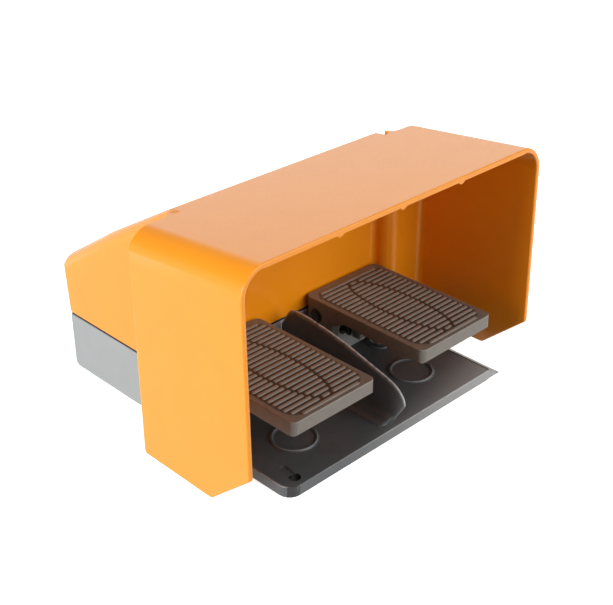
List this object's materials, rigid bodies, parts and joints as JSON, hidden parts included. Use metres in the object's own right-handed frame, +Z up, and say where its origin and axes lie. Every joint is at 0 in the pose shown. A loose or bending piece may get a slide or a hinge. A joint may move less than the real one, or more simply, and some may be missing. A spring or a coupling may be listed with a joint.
{
  "type": "guarded twin foot switch",
  "caption": "Guarded industrial foot switch: two sprung ribbed pedals under a deep orange hood, each working its own plunger and contact block in a grey base.",
  "frame": {"origin": "on the floor, under the centre of the whole outline", "axes": "+X to the operator's right, along the pivot pins; +Y away from the operator, towards the cable entries; +Z up from the floor"},
  "size_m": [0.29, 0.27, 0.1854],
  "materials": {
    "hood_orange": "smooth satin-gloss orange moulding",
    "housing_grey": "light grey moulding, fine grain",
    "plate_casting": "dark coated casting",
    "pedal_casting": "dark grey-brown coated die casting",
    "rubber_black": "matt",
    "nylon_black": "semi-matt",
    "nylon_cream": "semi-matt",
    "steel_zinc": "zinc plated",
    "steel_bright": "bright ground",
    "bronze_oiled": "oiled sintered bronze",
    "brass": "bright"
  },
  "bodies": {
    "base": {"base_plate": "plate_casting", "divider_fin": "plate_casting", "base_housing": "housing_grey", "hood_cover": "hood_orange", "cover_gasket": "rubber_black", "cover_screws": "steel_zinc", "plate_screws": "steel_zinc", "cable_gland": "nylon_black", "gland_cap": "nylon_black", "gland_seal": "rubber_black", "gland_locknut": "nylon_black", "blanking_plug": "nylon_black", "earth_terminal": "brass", "bearing_block_left": "housing_grey", "bearing_block_right": "housing_grey", "pivot_pin_left": "steel_bright", "return_spring_left": "steel_bright", "plunger_bush_left": "brass", "contact_block_left": "nylon_cream", "fixed_contacts_left": "brass", "terminal_screws_left": "steel_zinc", "block_screws_left": "steel_zinc", "pivot_pin_right": "steel_bright", "return_spring_right": "steel_bright", "plunger_bush_right": "brass", "contact_block_right": "nylon_cream", "fixed_contacts_right": "brass", "terminal_screws_right": "steel_zinc", "block_screws_right": "steel_zinc"},
    "pedal_left_body": {"pedal_left": "pedal_casting", "pedal_bushes_left": "bronze_oiled", "pedal_buffer_left": "rubber_black", "actuator_screw_left": "steel_zinc"},
    "plunger_left_body": {"plunger_left": "nylon_black", "contact_bridge_left": "brass"},
    "pedal_right_body": {"pedal_right": "pedal_casting", "pedal_bushes_right": "bronze_oiled", "pedal_buffer_right": "rubber_black", "actuator_screw_right": "steel_zinc"},
    "plunger_right_body": {"plunger_right": "nylon_black", "contact_bridge_right": "brass"}
  },
  "joints": [
    {"name": "pedal_left_hinge", "type": "hinge", "parent": "base", "child": "pedal_left_body", "pos_m": [0, -0.0214, 0.0465], "axis": [1, 0, 0], "range_deg": [0, 12], "stiffness_Nm_per_rad": 4, "springref_deg": -11.46, "deforming": ["return_spring_left"]},
    {"name": "plunger_left_slide", "type": "slide", "parent": "base", "child": "plunger_left_body", "axis": [0, 1, 0], "range_m": [0, 0.0039]},
    {"name": "pedal_right_hinge", "type": "hinge", "parent": "base", "child": "pedal_right_body", "pos_m": [0, -0.0214, 0.0465], "axis": [1, 0, 0], "range_deg": [0, 12], "stiffness_Nm_per_rad": 4, "springref_deg": -11.46, "deforming": ["return_spring_right"]},
    {"name": "plunger_right_slide", "type": "slide", "parent": "base", "child": "plunger_right_body", "axis": [0, 1, 0], "range_m": [0, 0.0039]}
  ],
  "couplings": [
    {"joint": "plunger_left_slide", "follows": "pedal_left_hinge", "m_per_rad": 0.0185},
    {"joint": "plunger_right_slide", "follows": "pedal_right_hinge", "m_per_rad": 0.0185}
  ]
}
